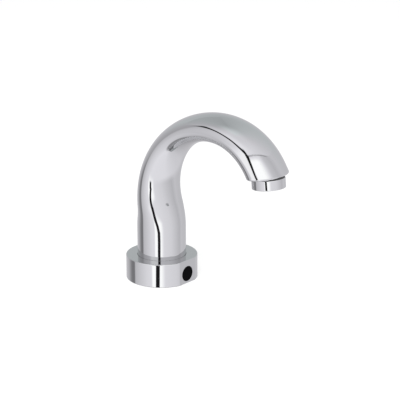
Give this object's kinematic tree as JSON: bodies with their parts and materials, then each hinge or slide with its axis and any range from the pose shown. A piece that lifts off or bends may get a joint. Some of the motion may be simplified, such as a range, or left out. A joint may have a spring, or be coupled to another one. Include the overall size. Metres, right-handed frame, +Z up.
{
  "type": "sensor tap",
  "caption": "Touch-free basin tap: a round base ring with a dark sensor window in its front flat, a swan-neck spout and a screwed-on aerator, with its deck fixing.",
  "frame": {"origin": "on the deck plane, under the centre of the base ring", "axes": "+Z up out of the deck, -Y forward along the spout to the user, +X to the user's right when facing the tap from the front seen along +Y"},
  "size_m": [0.058, 0.1497, 0.2039],
  "materials": {
    "chrome": "polished chrome plate on cast brass",
    "brass": "machined, bare",
    "copper": "drawn copper tube",
    "stainless_steel": "plain stainless steel",
    "rubber": "black, matt",
    "grey_plastic": "moulded, pale grey",
    "black_plastic": "moulded, black",
    "dark_window": "polished, nearly black, lets infra-red light through",
    "circuit_board": "green solder mask",
    "clear_diode": "clear resin, faintly blue",
    "dark_diode": "dark resin"
  },
  "bodies": {
    "tap": {"spout_body": "chrome", "base_ring": "chrome", "deck_seal": "rubber", "base_plate": "brass", "base_screws": "stainless_steel", "threaded_shank": "brass", "inlet_manifold": "brass", "inlet_filter": "stainless_steel", "cable_grommet": "rubber", "water_tube": "copper", "tube_seal_lower": "rubber", "tube_seal_upper": "rubber", "outlet_nozzle": "brass", "outlet_seal": "rubber", "sensor_window": "dark_window", "window_seal": "rubber", "sensor_housing": "black_plastic", "sensor_back_cover": "black_plastic", "sensor_board": "circuit_board", "light_baffle": "black_plastic", "ir_emitter": "clear_diode", "ir_receiver": "dark_diode"},
    "aerator_core": {"aerator_washer": "rubber", "aerator_cartridge": "grey_plastic", "stream_straightener": "grey_plastic", "flow_disc": "grey_plastic", "regulator_ring": "rubber", "inlet_screen": "stainless_steel"},
    "aerator_shell": {"aerator_housing": "chrome"},
    "clamp_washers": {"rubber_washer": "rubber", "steel_washer": "stainless_steel"},
    "clamp_nut": {"back_nut": "brass"}
  },
  "joints": [
    {"name": "aerator_drop", "type": "slide", "parent": "tap", "child": "aerator_core", "axis": [0, -0.0985, -0.9951], "range_m": [0, 0.005]},
    {"name": "aerator_turn", "type": "hinge", "parent": "aerator_core", "child": "aerator_shell", "pos_m": [0, -0.1071, 0.10396], "axis": [0, -0.0985, -0.9951], "range_deg": [0, 1800]},
    {"name": "nut_travel", "type": "slide", "parent": "tap", "child": "clamp_washers", "axis": [0, 0, 1], "range_m": [-0.024, 0.015]},
    {"name": "nut_turn", "type": "hinge", "parent": "clamp_washers", "child": "clamp_nut", "pos_m": [0, 0, -0.025], "axis": [0, 0, 1], "range_deg": [-5760, 3600]}
  ],
  "couplings": [
    {"joint": "aerator_drop", "follows": "aerator_turn", "m_per_rad": 0.00015915},
    {"joint": "nut_travel", "follows": "nut_turn", "m_per_rad": 0.00023873}
  ]
}
